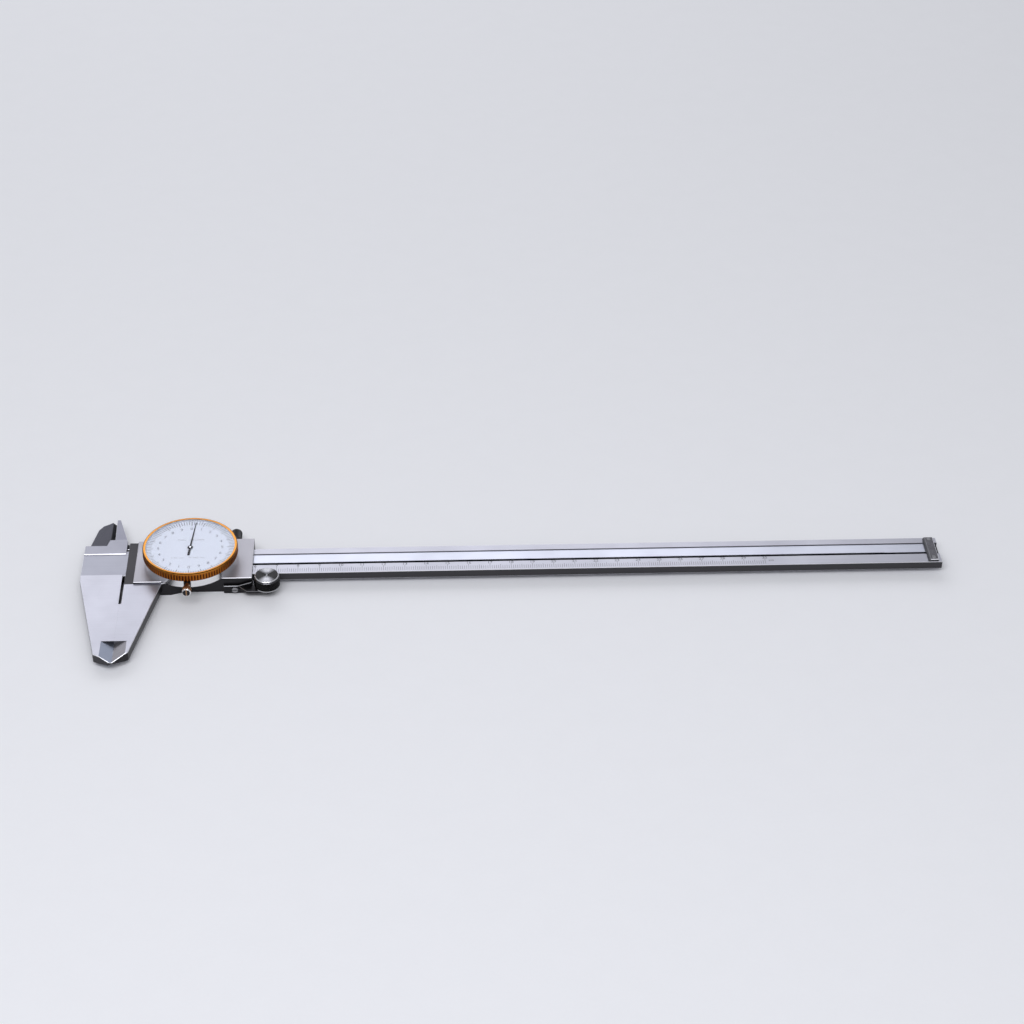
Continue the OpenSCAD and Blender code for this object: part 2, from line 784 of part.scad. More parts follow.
module drive_gear() {
    color(brass)
    translate([rack_pinion_x, rack_pinion_y, gear_z]) difference() {
        rotate(drive_direction + 180) gear_disc(drive_teeth, gear_module, 0, gear_t);
        translate([0, 0, -overshoot]) cylinder(h = 4, r = arbor_r);
    }
}

module backlash_gear() {
    color(brass)
    translate([rack_pinion_x, rack_pinion_y, gear_z + gear_t + 0.03]) difference() {
        rotate(drive_direction + 180) gear_disc(drive_teeth, gear_module, 0, gear_t);
        translate([0, 0, -overshoot]) cylinder(h = 4, r = arbor_r + 0.03);
        for (angle = [0, 120, 240]) rotate(angle) translate([2.9, 0, -overshoot]) cylinder(h = 4, r = 0.8);
    }
}

module backlash_spring() {
    color(dark_steel)
    translate([rack_pinion_x, rack_pinion_y, gear_z + 2 * gear_t + 0.06]) difference() {
        cylinder(h = 0.3, r = 1.7);
        translate([0, 0, -overshoot]) cylinder(h = 4, r = 1.35);
        translate([0, -0.4, -overshoot]) cube([3, 0.8, 4]);
    }
}

module centre_pinion() {
    color(bright_steel)
    translate([dial_x, 0, 0]) {
        translate([0, 0, gear_z - 0.05]) rotate(drive_direction + 180 / centre_teeth)
            gear_disc(centre_teeth, gear_module, 0, 2 * gear_t + 0.15);
        translate([0, 0, movement_z - 0.1]) cylinder(h = needle_z - movement_z, r = arbor_r);
    }
}

module needle() {
    hub_r = 1.3;
    color([0.08, 0.08, 0.08])
    translate([dial_x, 0, needle_z]) rotate(-needle_rest_angle) difference() {
        linear_extrude(needle_t) union() {
            circle(r = hub_r);
            polygon([[-0.55, -5.9], [0.55, -5.9], [0.42, 0], [0.16, 19.4], [0, 19.7],
                [-0.16, 19.4], [-0.42, 0]]);
        }
        translate([0, 0, -overshoot]) cylinder(h = 3, r = 0.5);
    }
}

module needle_hub() {
    color(bright_steel)
    translate([dial_x, 0, 0]) {
        translate([0, 0, needle_z - 0.1]) cylinder(h = needle_t + 0.2, r = 0.5);
        translate([0, 0, needle_z + needle_t]) cylinder(h = 0.2, r1 = 1.15, r2 = 0.95);
    }
}

beam();
rack();
end_stop();
end_stop_screws();
slider_body();
cover_plate();
back_plate();
back_plate_screws();
gib_strip();
gib_screws();
depth_rod();
depth_rod_screw();
roller_arm();
roller_arm_screw();
dial_housing();
housing_screws();
movement_plate();
movement_screws();
lower_bushes();
bridge_pillars();
movement_bridge();
bridge_screws();
upper_bushes();
bezel_retaining_ring();
bezel_clamp_shoe();
bezel_clamp_screw();
lock_screw();
thumb_roller();
roller_clip();
bezel_ring();
crystal();
dial_face();
rack_pinion();
drive_gear();
backlash_gear();
backlash_spring();
centre_pinion();
needle();
needle_hub();
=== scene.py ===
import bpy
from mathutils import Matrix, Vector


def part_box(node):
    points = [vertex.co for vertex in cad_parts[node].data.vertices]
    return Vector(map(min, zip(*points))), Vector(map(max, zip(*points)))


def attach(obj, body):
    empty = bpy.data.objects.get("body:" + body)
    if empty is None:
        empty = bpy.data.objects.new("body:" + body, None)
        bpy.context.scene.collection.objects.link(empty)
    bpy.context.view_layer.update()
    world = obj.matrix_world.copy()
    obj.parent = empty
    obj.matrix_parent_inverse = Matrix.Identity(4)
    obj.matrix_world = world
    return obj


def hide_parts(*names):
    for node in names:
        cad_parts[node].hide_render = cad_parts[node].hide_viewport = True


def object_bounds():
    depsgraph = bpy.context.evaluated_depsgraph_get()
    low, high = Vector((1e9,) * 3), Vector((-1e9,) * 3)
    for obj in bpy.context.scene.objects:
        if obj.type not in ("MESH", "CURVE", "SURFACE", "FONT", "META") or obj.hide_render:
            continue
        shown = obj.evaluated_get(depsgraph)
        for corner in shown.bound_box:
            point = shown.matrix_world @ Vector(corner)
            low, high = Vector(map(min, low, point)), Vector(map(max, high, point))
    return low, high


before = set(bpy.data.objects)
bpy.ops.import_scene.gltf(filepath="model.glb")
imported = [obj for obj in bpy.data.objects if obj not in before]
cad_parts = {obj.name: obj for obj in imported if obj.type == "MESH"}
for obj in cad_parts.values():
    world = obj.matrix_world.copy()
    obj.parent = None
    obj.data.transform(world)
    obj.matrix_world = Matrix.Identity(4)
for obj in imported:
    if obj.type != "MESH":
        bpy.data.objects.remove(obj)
cad_box = [list(corner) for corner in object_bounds()]

# Looks of a 300 mm dial caliper. A name ending in _mm is in millimetres, MM turns millimetres into
# metres, and every other length is in metres.
import math

import bmesh
import bpy
from mathutils import Matrix, Vector

MM = 0.001
FULL_TURN = 2 * math.pi
X, Y, Z = 0, 1, 2


# ---------------------------------------------------------------- places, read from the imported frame

def middle(node):
    """Centre of a CAD node's box."""
    low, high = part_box(node)
    return (low + high) / 2


bezel_low, bezel_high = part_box("bezel_ring")
face_low, face_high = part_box("dial_face")
roller_low, roller_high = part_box("thumb_roller")
clamp_low, clamp_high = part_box("bezel_clamp_screw")
lock_low, lock_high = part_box("lock_screw")
ring_low, ring_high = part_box("bezel_retaining_ring")

dial_centre = middle("bezel_ring")
roller_centre = middle("thumb_roller")
clamp_centre = middle("bezel_clamp_screw")
lock_centre = middle("lock_screw")
bezel_r = (bezel_high.x - bezel_low.x) / 2
face_r = (face_high.x - face_low.x) / 2
roller_r = (roller_high.x - roller_low.x) / 2
clamp_r = (clamp_high.x - clamp_low.x) / 2
lock_r = (lock_high.x - lock_low.x) / 2
beam_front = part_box("end_stop")[0].z
# Left edge of the slider body, where the scale is read: its box is wider, because it has a jaw and a blade
reading_edge = 0.85 * MM


# ---------------------------------------------------------------- node helpers

def new_material(name, colour, roughness, metallic=0.0, **sockets):
    """A material with one Principled shader. Socket names are given with _ for a space."""
    material = bpy.data.materials.new(name)
    material.use_nodes = True
    shader = shader_of(material)
    shader.inputs["Base Color"].default_value = (*colour, 1)
    shader.inputs["Roughness"].default_value = roughness
    shader.inputs["Metallic"].default_value = metallic
    for socket, value in sockets.items():
        shader.inputs[socket.replace("_", " ")].default_value = value
    material.diffuse_color = (*colour, 1)
    return material


def shader_of(material):
    return material.node_tree.nodes["Principled BSDF"]


def add(material, kind, **settings):
    """A new node. in0, in1 and so on, or a socket's name, sets or links a socket; the rest are properties."""
    tree = material.node_tree
    node = tree.nodes.new(kind)
    for key, value in settings.items():
        if key.startswith("in") and key[2:].isdigit():
            place = node.inputs[int(key[2:])]
        else:
            place = node.inputs.get(key.replace("_", " "))
        if place is None:
            setattr(node, key, value)
        elif isinstance(value, bpy.types.NodeSocket):
            tree.links.new(value, place)
        else:
            place.default_value = value
    return node


def drive(material, socket, source):
    material.node_tree.links.new(source, shader_of(material).inputs[socket])


def calc(material, operation, first, second=0.0):
    return add(material, "ShaderNodeMath", operation=operation, in0=first, in1=second).outputs[0]


def position(material):
    """The point on the surface, in metres, in the row frame at rest."""
    return add(material, "ShaderNodeTexCoord").outputs["Object"]


def parts_of(material, vector):
    return add(material, "ShaderNodeSeparateXYZ", Vector=vector).outputs


def ramp(material, value, low, high, out_low=0.0, out_high=1.0):
    """Maps low..high to out_low..out_high, clamped."""
    node = add(material, "ShaderNodeMapRange", Value=value, From_Min=low, From_Max=high,
               To_Min=out_low, To_Max=out_high)
    return node.outputs[0]


# The noise stays mostly between these values, which become 0 and 1
NOISE_LOW, NOISE_HIGH = 0.3, 0.7


def grain(material, where, cells, detail=4.0):
    """Noise from 0 to 1, with cells a metre given for each axis."""
    mapping = add(material, "ShaderNodeMapping", Vector=where, Scale=cells)
    noise = add(material, "ShaderNodeTexNoise", Vector=mapping.outputs[0], Scale=1.0, Detail=detail,
                Roughness=0.6)
    return ramp(material, noise.outputs["Fac"], NOISE_LOW, NOISE_HIGH)


def blend(material, fac, first, second):
    """A colour between first (fac 0) and second (fac 1), each a socket or a colour."""
    node = add(material, "ShaderNodeMix", data_type="RGBA")
    for index, value in ((0, fac), (6, first), (7, second)):
        if isinstance(value, bpy.types.NodeSocket):
            material.node_tree.links.new(value, node.inputs[index])
        else:
            node.inputs[index].default_value = (*value, 1)
    return node.outputs[2]


def within(material, where, limits):
    """1 inside a box, 0 outside. limits has axis: (low_mm, high_mm), with None for an open side."""
    axes = parts_of(material, where)
    mask = None
    for axis, (low_mm, high_mm) in limits.items():
        for operation, limit_mm in (("GREATER_THAN", low_mm), ("LESS_THAN", high_mm)):
            if limit_mm is not None:
                test = calc(material, operation, axes[axis], limit_mm * MM)
                mask = test if mask is None else calc(material, "MULTIPLY", mask, test)
    return mask


def bump(material, height, depth_mm):
    node = add(material, "ShaderNodeBump", Strength=1.0, Distance=depth_mm * MM, Height=height)
    drive(material, "Normal", node.outputs[0])


def scaled(colour, factor):
    return tuple(min(1.0, c * factor) for c in colour)


def tone_of(material, lines, colour, contrast):
    """A colour that varies with the lines by contrast each way."""
    return blend(material, lines, scaled(colour, 1 - contrast), scaled(colour, 1 + contrast))


# ---------------------------------------------------------------- materials

# How much of ground metal's pattern is fine lines, and how many cells a metre the broad ones have for
# each cell of the fine ones
FINE_SHARE = 0.6
BROAD_CELLS = 0.2
# Smudges and clouds a metre
GROUND_SMUDGES = 60
TURNED_SMUDGES = 180
PAINT_CLOUDS = 70
# How upright a surface's normal is, from 0 on a side to 1 on a flat, where each colour starts and is full:
# painted shade on the sides, a painted highlight on the corners
SIDE_SHADE_FROM, SIDE_SHADE_FULL = 0.4, 0.2
EDGE_FROM, EDGE_FULL = 0.3, 0.5
FLAT_FROM, FLAT_FULL = 0.93, 0.86
# Distance from the X axis, as a share of the radius, where the dark colour of a fan, a painted sheen, starts
# and is full
FAN_FROM, FAN_FULL = 0.25, 0.8
FAN_CONTRAST = 0.4


def ground_metal(name, colour, roughness, line_mm=0.06, length_mm=9.0, depth_mm=0.0015, contrast=0.1,
                 side_shade=None, edge=None, zones=(), marks=()):
    """Metal ground along X: fine and broad lines in colour and height, and faint smudges in gloss.

    Each zone is (limits, colour) and recolours what is inside a box. side_shade then paints shade on the
    upright sides, and edge paints a highlight, over a burnished chamfer, on the corners between a side and
    a flat. Each mark is like a zone, but recolours sides and corners too.
    """
    material = new_material(name, colour, roughness, metallic=1.0)
    where = position(material)
    cells = (1 / (length_mm * MM), 1 / (line_mm * MM), 1 / (line_mm * MM))
    fine = grain(material, where, cells, detail=5)
    broad = grain(material, where, tuple(BROAD_CELLS * count for count in cells))
    smudge = grain(material, where, (GROUND_SMUDGES,) * 3, detail=3)
    lines = calc(material, "ADD", calc(material, "MULTIPLY", fine, FINE_SHARE),
                 calc(material, "MULTIPLY", broad, 1 - FINE_SHARE))
    shade = tone_of(material, lines, colour, contrast)
    for limits, zone_colour in zones:
        tone = tone_of(material, lines, zone_colour, contrast)
        shade = blend(material, within(material, where, limits), shade, tone)
    normal = add(material, "ShaderNodeTexCoord").outputs["Normal"]
    upright = calc(material, "ABSOLUTE", parts_of(material, normal)[Z])
    # Painted shade on the upright sides
    if side_shade:
        tone = tone_of(material, lines, side_shade, contrast)
        shade = blend(material, ramp(material, upright, SIDE_SHADE_FROM, SIDE_SHADE_FULL), shade, tone)
    # Painted highlight on the chamfered corners, over the brightness of a burnished edge
    if edge:
        corner = calc(material, "MULTIPLY", ramp(material, upright, EDGE_FROM, EDGE_FULL),
                      ramp(material, upright, FLAT_FROM, FLAT_FULL))
        shade = blend(material, corner, shade, edge)
    for limits, mark_colour in marks:
        shade = blend(material, within(material, where, limits), shade, mark_colour)
    drive(material, "Base Color", shade)
    gloss = calc(material, "ADD", ramp(material, lines, 0, 1, roughness - 0.05, roughness + 0.07),
                 ramp(material, smudge, 0, 1, -0.03, 0.04))
    drive(material, "Roughness", gloss)
    bump(material, lines, depth_mm)
    return material


def turned_metal(name, colour, roughness, centre, axis=Z, line_mm=0.09, depth_mm=0.002, contrast=0.1,
                 rings=(), zones=(), fan=None):
    """Metal turned on a lathe: fine rings round an axis through centre.

    Each ring is (low_mm, high_mm, colour) and recolours the metal between two radii; zones are as for
    ground metal. fan is a painted sheen: a darker colour towards +X and -X, as on a turned face lit from +Y
    and -Y.
    """
    material = new_material(name, colour, roughness, metallic=1.0)
    world = position(material)
    where = add(material, "ShaderNodeVectorMath", operation="SUBTRACT", in0=world,
                in1=tuple(centre)).outputs[0]
    across = tuple(0 if index == axis else 1 for index in range(3))
    flat = add(material, "ShaderNodeVectorMath", operation="MULTIPLY", in0=where, in1=across).outputs[0]
    radius = add(material, "ShaderNodeVectorMath", operation="LENGTH", in0=flat).outputs["Value"]
    track = add(material, "ShaderNodeCombineXYZ", X=radius, Y=parts_of(material, where)[axis]).outputs[0]
    lines = grain(material, track, (1 / (line_mm * MM),) * 3, detail=3)
    smudge = grain(material, where, (TURNED_SMUDGES,) * 3, detail=3)
    shade = tone_of(material, lines, colour, contrast)
    # Painted sheen: darker towards +X and -X
    if fan:
        slant = calc(material, "DIVIDE", calc(material, "ABSOLUTE", parts_of(material, where)[X]), radius)
        shade = blend(material, ramp(material, slant, FAN_FROM, FAN_FULL), shade,
                      tone_of(material, lines, fan, FAN_CONTRAST))
    for limits, zone_colour in zones:
        tone = tone_of(material, lines, zone_colour, contrast)
        shade = blend(material, within(material, world, limits), shade, tone)
    for low_mm, high_mm, ring_colour in rings:
        inside = calc(material, "MULTIPLY", calc(material, "GREATER_THAN", radius, low_mm * MM),
                      calc(material, "LESS_THAN", radius, high_mm * MM))
        shade = blend(material, inside, shade, ring_colour)
    drive(material, "Base Color", shade)
    gloss = calc(material, "ADD", ramp(material, lines, 0, 1, roughness - 0.04, roughness + 0.05),
                 ramp(material, smudge, 0, 1, -0.03, 0.05))
    drive(material, "Roughness", gloss)
    bump(material, lines, depth_mm)
    return material


def speckled(name, colour, roughness, cell_mm=0.2, contrast=0.06, depth_mm=0.003, **sockets):
    """Paint or print: fine grain in colour, gloss and height."""
    material = new_material(name, colour, roughness, **sockets)
    where = position(material)
    speck = grain(material, where, (1 / (cell_mm * MM),) * 3)
    cloud = grain(material, where, (PAINT_CLOUDS,) * 3, detail=3)
    mixed = calc(material, "MULTIPLY", calc(material, "ADD", speck, cloud), 0.5)
    drive(material, "Base Color", tone_of(material, mixed, colour, contrast))
    drive(material, "Roughness", ramp(material, mixed, 0, 1, roughness - 0.04, roughness + 0.06))
    if depth_mm:
        bump(material, speck, depth_mm)
    return material


def clear_crystal(name):
    """Clear crystal that lets lamps through to the dial."""
    material = new_material(name, (1, 1, 1), 0.02, Transmission_Weight=1.0, IOR=1.1)
    tree = material.node_tree
    lamps = add(material, "ShaderNodeLightPath").outputs["Is Shadow Ray"]
    through = add(material, "ShaderNodeBsdfTransparent")
    mix = tree.nodes.new("ShaderNodeMixShader")
    tree.links.new(lamps, mix.inputs[0])
    tree.links.new(shader_of(material).outputs[0], mix.inputs[1])
    tree.links.new(through.outputs[0], mix.inputs[2])
    tree.links.new(mix.outputs[0], tree.nodes["Material Output"].inputs["Surface"])
    return material


STEEL = (0.49, 0.49, 0.54)
SATIN = (0.44, 0.43, 0.46)
BRIGHT = (0.86, 0.86, 0.90)
# Painted highlight on chamfered corners, over burnished edges
BURNISH_AND_HIGHLIGHT = (0.85, 0.85, 0.88)
# Painted shade for the upright sides
PAINTED_SIDE_SHADE = (0.07, 0.068, 0.072)
# Near black: the hub's own colour, and painted shade in grooves, gaps, channels and on the rack's sides
BLACK_AND_SHADE = (0.03, 0.03, 0.034)
# Painted shade for the slider's strip
STRIP_SHADE = (0.055, 0.053, 0.056)
GOLD = (0.43, 0.14, 0.018)
# Painted highlight on the bezel's top rim
GOLD_RIM_HIGHLIGHT = (0.66, 0.29, 0.055)
BRASS = (0.66, 0.46, 0.18)

# Zones and marks: the limits in millimetres along each axis, and the colour inside them; some are the metal's
# own tone, and those noted are painted shade or a painted highlight
BAND = ({X: (-19.9, 0.8), Y: (-9.1, 6.78), Z: (6.4, 6.6)}, (0.33, 0.333, 0.375))
# Painted highlight along the step between the band and the jaw top
BAND_STEP = ({X: (-19.9, 0), Y: (6.7, 6.95), Z: (6.55, 6.99)}, BURNISH_AND_HIGHLIGHT)
JAW_TOP = ({X: (-19.9, 0.85), Y: (6.95, 17.95), Z: (6.4, None)}, (0.32, 0.32, 0.36))
BLADE_FRONT = ({X: (-6.7, 0), Y: (17.95, 34), Z: (6.9, None)}, (0.26, 0.26, 0.30))
FIXED_TIP = ({X: (-5.8, 0.01), Y: (None, -58.02), Z: (2.6, 6.98)}, (0.27, 0.295, 0.36))
MOVING_TIP = ({X: (0.01, 5.8), Y: (None, -58.02), Z: (2.6, 6.98)}, (0.36, 0.35, 0.37))
# Painted shade on the moving jaw's tip end wall
MOVING_TIP_WALL = ({X: (0.01, 5.8), Y: (-58.02, -57.95), Z: (2.6, 6.98)}, (0.22, 0.22, 0.23))
# Painted shade in the rack's channel and on its wall
RACK_CHANNEL = ({X: (20, None), Y: (-2.85, 5.15), Z: (4.9, 6.1)}, BLACK_AND_SHADE)
CHANNEL_WALL = ({X: (20, None), Y: (5.1, 5.5), Z: (4.9, 6.6)}, (0.11, 0.11, 0.12))
# Painted shade on the strip of the slider body between the jaw and the cover plate
SLIDER_STRIP = ({X: (0.8, 5.2), Y: (-16.6, 16), Z: (6.8, None)}, STRIP_SHADE)
# Painted shade on the moving inside blade's low sloped face, in the gap at the blades' root and along the
# blade's ground edge
INSIDE_BLADE = ({X: (None, -0.6), Y: (9.6, None), Z: (2.4, 5)}, (0.07, 0.07, 0.083))
BLADE_ROOT = ({X: (-0.6, 3.6), Y: (9.6, None), Z: (2.4, 5)}, BLACK_AND_SHADE)
BLADE_EDGE = ({X: (-8.87, -4.5), Y: (18, 36), Z: (2.4, 4.88)}, BLACK_AND_SHADE)
# Painted shade on the end stop's sloped left face
STOP_SLOPE = ({X: (378.1, 379.05)}, (0.10, 0.10, 0.105))

beam_steel = ground_metal("beam_steel", STEEL, 0.36, side_shade=PAINTED_SIDE_SHADE, edge=BURNISH_AND_HIGHLIGHT,
                          zones=(BAND, JAW_TOP, BLADE_FRONT, FIXED_TIP),
                          marks=(BAND_STEP, RACK_CHANNEL, CHANNEL_WALL))
slider_steel = ground_metal("slider_steel", STEEL, 0.36, side_shade=scaled(PAINTED_SIDE_SHADE, 0.6), edge=BURNISH_AND_HIGHLIGHT,
                            zones=(MOVING_TIP, SLIDER_STRIP, INSIDE_BLADE, BLADE_ROOT),
                            marks=(MOVING_TIP_WALL, BLADE_EDGE))
rack_steel = ground_metal("rack_steel", (0.60, 0.615, 0.69), 0.34, line_mm=0.09, length_mm=14,
                          side_shade=BLACK_AND_SHADE)
plate_steel = ground_metal("plate_steel", SATIN, 0.42, line_mm=0.05, length_mm=4, contrast=0.05,
                           side_shade=scaled(PAINTED_SIDE_SHADE, 0.6), edge=BURNISH_AND_HIGHLIGHT)
stop_steel = ground_metal("stop_steel", (0.16, 0.157, 0.17), 0.4, line_mm=0.5, length_mm=0.9, contrast=0.4,
                          side_shade=PAINTED_SIDE_SHADE, edge=BURNISH_AND_HIGHLIGHT, marks=(STOP_SLOPE,))
screw_steel = ground_metal("screw_steel", (0.36, 0.36, 0.37), 0.3, line_mm=0.15, length_mm=0.5, contrast=0.4)
fine_steel = ground_metal("fine_steel", BRIGHT, 0.3, line_mm=0.04, length_mm=5, contrast=0.06)
rod_steel = ground_metal("rod_steel", STEEL, 0.36, line_mm=0.06, length_mm=8, contrast=0.08)
# The arm's edge colour is a painted highlight on its chamfers
arm_steel = ground_metal("arm_steel", (0.035, 0.034, 0.036), 0.38, line_mm=0.08, length_mm=3, contrast=0.2,
                         edge=(0.3, 0.3, 0.31))
dark_steel = ground_metal("dark_steel", (0.06, 0.06, 0.065), 0.38, line_mm=0.08, length_mm=3, contrast=0.2)
housing_steel = turned_metal("housing_steel", (0.93, 0.93, 0.94), 0.2, dial_centre)
# A painted highlight on the bezel's top rim and inner edge, and painted shade on its outer top chamfer
bezel_gold = turned_metal("bezel_gold", GOLD, 0.26, dial_centre, line_mm=0.07, contrast=0.12,
                          zones=[({Z: (bezel_high.z / MM - 0.45, None)}, GOLD_RIM_HIGHLIGHT)],
                          rings=[(face_r / MM - 1.5, face_r / MM + 0.12, (0.80, 0.81, 0.84)),
                                 (bezel_r / MM - 0.5, bezel_r / MM - 0.16, (0.10, 0.025, 0.004))])
# Painted shade on the clamp screw's end face, and a painted highlight on its end chamfer
clamp_gold = turned_metal("clamp_gold", (0.40, 0.24, 0.13), 0.26, clamp_centre, axis=Y, contrast=0.15,
                          zones=[({Y: (None, clamp_low.y / MM + 0.02)}, BLACK_AND_SHADE),
                                 ({Y: (clamp_low.y / MM + 0.02, clamp_low.y / MM + 0.5)}, (0.95, 0.93, 0.9))])
roller_top_mm = roller_high.z / MM
# Painted light on the roller: a painted highlight on the top chamfer and the bottom band, and painted shade
# in the groove, on the shoulder and on the knurled side
roller_steel = turned_metal("roller_steel", (0.40, 0.40, 0.42), 0.24, roller_centre, line_mm=0.12,
                            depth_mm=0.004, contrast=0.16, fan=(0.022, 0.022, 0.022),
                            zones=[({Z: (roller_top_mm - 0.37, roller_top_mm - 0.01)}, BRIGHT),
                                   ({Z: (roller_top_mm - 0.94, roller_top_mm - 0.71)}, BLACK_AND_SHADE),
                                   ({Z: (roller_top_mm - 1.3, roller_top_mm - 0.94)}, (0.11, 0.11, 0.115)),
                                   ({Z: (None, roller_top_mm - 1.28)}, (0.012, 0.012, 0.012)),
                                   ({Z: (4, roller_low.z / MM + 3.3)}, (0.45, 0.45, 0.46))])
# A painted highlight on the lock screw's chamfered end
lock_steel = turned_metal("lock_steel", (0.05, 0.05, 0.052), 0.32, lock_centre, axis=Y,
                          zones=[({Y: (lock_high.y / MM - 0.75, None)}, (0.30, 0.34, 0.38))])
# A painted highlight at the middle of the dark hub
hub_steel = turned_metal("hub_steel", BLACK_AND_SHADE, 0.2, dial_centre, rings=[(-1, 0.45, BRIGHT)])
brass = ground_metal("brass", BRASS, 0.32, line_mm=0.08, length_mm=3)
enamel = speckled("dial_enamel", (0.515, 0.545, 0.615), 0.45, cell_mm=0.15, contrast=0.02, depth_mm=0.001)
ink_black = speckled("ink_black", (0.02, 0.02, 0.024), 0.5, contrast=0.3)
ink_blue = speckled("ink_blue", (0.09, 0.105, 0.14), 0.5, contrast=0.2)
ink_grey = speckled("ink_grey", (0.17, 0.175, 0.20), 0.5, contrast=0.2)
scale_ink = speckled("scale_ink", (0.09, 0.09, 0.10), 0.5, contrast=0.2)
needle_black = speckled("needle_black", (0.006, 0.006, 0.009), 0.45, contrast=0.2, Specular_IOR_Level=0.2)
crystal_clear = clear_crystal("crystal_clear")


# ---------------------------------------------------------------- mesh helpers

def shade_with_sharp_corners(mesh, angle_deg):
    """Smooth shading, broken at edges whose faces turn by more than the angle."""
    work = bmesh.new()
    work.from_mesh(mesh)
    for face in work.faces:
        face.smooth = True
    for edge in work.edges:
        edge.smooth = len(edge.link_faces) == 2 and edge.calc_face_angle() < math.radians(angle_deg)
    work.to_mesh(mesh)
    work.free()


def new_piece(name, mesh, material, body, smooth_angle=None):
    """Puts a mesh in the scene as one piece that rides on a body."""
    piece = bpy.data.objects.new(name, mesh)
    bpy.context.scene.collection.objects.link(piece)
    mesh.materials.clear()
    mesh.materials.append(material)
    if smooth_angle is not None:
        shade_with_sharp_corners(mesh, smooth_angle)
    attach(piece, body)
    return piece


# Points of a built mesh this near are one point
BUILD_WELD = 1e-8


def mesh_from(build):
    """A mesh from a function that fills a bmesh."""
    mesh = bpy.data.meshes.new("mesh")
    work = bmesh.new()
    build(work)
    bmesh.ops.remove_doubles(work, verts=work.verts[:], dist=BUILD_WELD)
    bmesh.ops.recalc_face_normals(work, faces=work.faces[:])
    work.to_mesh(mesh)
    work.free()
    return mesh


def apply_modifiers(piece):
    bpy.context.view_layer.update()
    shaped = piece.evaluated_get(bpy.context.evaluated_depsgraph_get())
    mesh = bpy.data.meshes.new_from_object(shaped)
    piece.modifiers.clear()
    piece.data = mesh


# Edges shorter or flatter than this get no chamfer
MIN_EDGE = 1.1 * MM
MIN_CORNER = math.radians(25)
# Where the grinding of the outside jaws' tips begins, and how near an edge counts as lying there
TIP_GRIND_Y = -58 * MM
TIP_MARGIN = 0.1 * MM
ZERO_PLANE_MARGIN = 0.6 * MM
# Points this near are one point, and faces this level with each other are one face
WELD = 1e-7
LEVEL = math.radians(1)
CHAMFER_SHARP_DEG = 15
NORMAL_WEIGHT = 100


def stays_sharp(edge):
    """True for edges on the zero plane, where the measuring faces meet, and where the tips are ground."""
    on_zero_plane = all(abs(vert.co.x) < ZERO_PLANE_MARGIN for vert in edge.verts)
    at_tips = all(abs(vert.co.y - TIP_GRIND_Y) < TIP_MARGIN for vert in edge.verts)
    return on_zero_plane or at_tips


def bevelled(node, width_mm, material, body):
    """A copy of a CAD node with its long outer edges chamfered, which stands for the node."""
    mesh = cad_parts[node].data.copy()
    work = bmesh.new()
    work.from_mesh(mesh)
    bmesh.ops.remove_doubles(work, verts=work.verts[:], dist=WELD)
    bmesh.ops.dissolve_limit(work, angle_limit=LEVEL, verts=work.verts[:], edges=work.edges[:])
    weight = work.edges.layers.float.new("bevel_weight_edge")
    for edge in work.edges:
        if len(edge.link_faces) != 2 or not edge.is_convex or stays_sharp(edge):
            continue
        if edge.calc_length() > MIN_EDGE and edge.calc_face_angle() > MIN_CORNER:
            edge[weight] = 1.0
    work.to_mesh(mesh)
    work.free()
    piece = new_piece(node + "_finished", mesh, material, body)
    chamfer = piece.modifiers.new("chamfer", "BEVEL")
    chamfer.width = width_mm * MM
    chamfer.segments = 1
    chamfer.limit_method = "WEIGHT"
    chamfer.use_clamp_overlap = False
    apply_modifiers(piece)
    shade_with_sharp_corners(piece.data, CHAMFER_SHARP_DEG)
    weigh = piece.modifiers.new("weigh", "WEIGHTED_NORMAL")
    weigh.keep_sharp = True
    weigh.weight = NORMAL_WEIGHT
    apply_modifiers(piece)
    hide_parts(node)
    return piece


STEPS_PER_RIB = 8


def lathe(profile, centre, ribs, rib_depth_mm, facing="Z", rib_shape=1.0, closed=False):
    """Revolves profile points (radius_mm, height_mm, rib weight) about an axis through centre.

    Where the weight is 1, the radius dips by rib_depth_mm between the ribs. facing is the direction
    of growing height: Z, Y or -Y. A closed profile joins its last point to its first.
    """
    turn = ribs * STEPS_PER_RIB
    quarter = {"Z": 0, "Y": -math.pi / 2, "-Y": math.pi / 2}[facing]
    base = Matrix.Translation(centre) @ Matrix.Rotation(quarter, 4, "X")

    def ring_points(work, radius_mm, height_mm, weight):
        if radius_mm == 0:
            return [work.verts.new(base @ Vector((0, 0, height_mm * MM)))]
        points = []
        for step in range(turn):
            wave = (0.5 - 0.5 * math.cos(FULL_TURN * ribs * step / turn)) ** rib_shape
            radius = (radius_mm - rib_depth_mm * weight * wave) * MM
            angle = FULL_TURN * step / turn
            points.append(work.verts.new(
                base @ Vector((radius * math.cos(angle), radius * math.sin(angle), height_mm * MM))))
        return points

    def build(work):
        rings = [ring_points(work, *point) for point in profile]
        if closed:
            rings.append(rings[0])
        for lower, upper in zip(rings, rings[1:]):
            for step in range(turn):
                after = (step + 1) % turn
                if len(lower) == 1:
                    work.faces.new((lower[0], upper[step], upper[after]))
                elif len(upper) == 1:
                    work.faces.new((lower[step], lower[after], upper[0]))
                else:
                    work.faces.new((lower[step], lower[after], upper[after], upper[step]))

    return mesh_from(build)


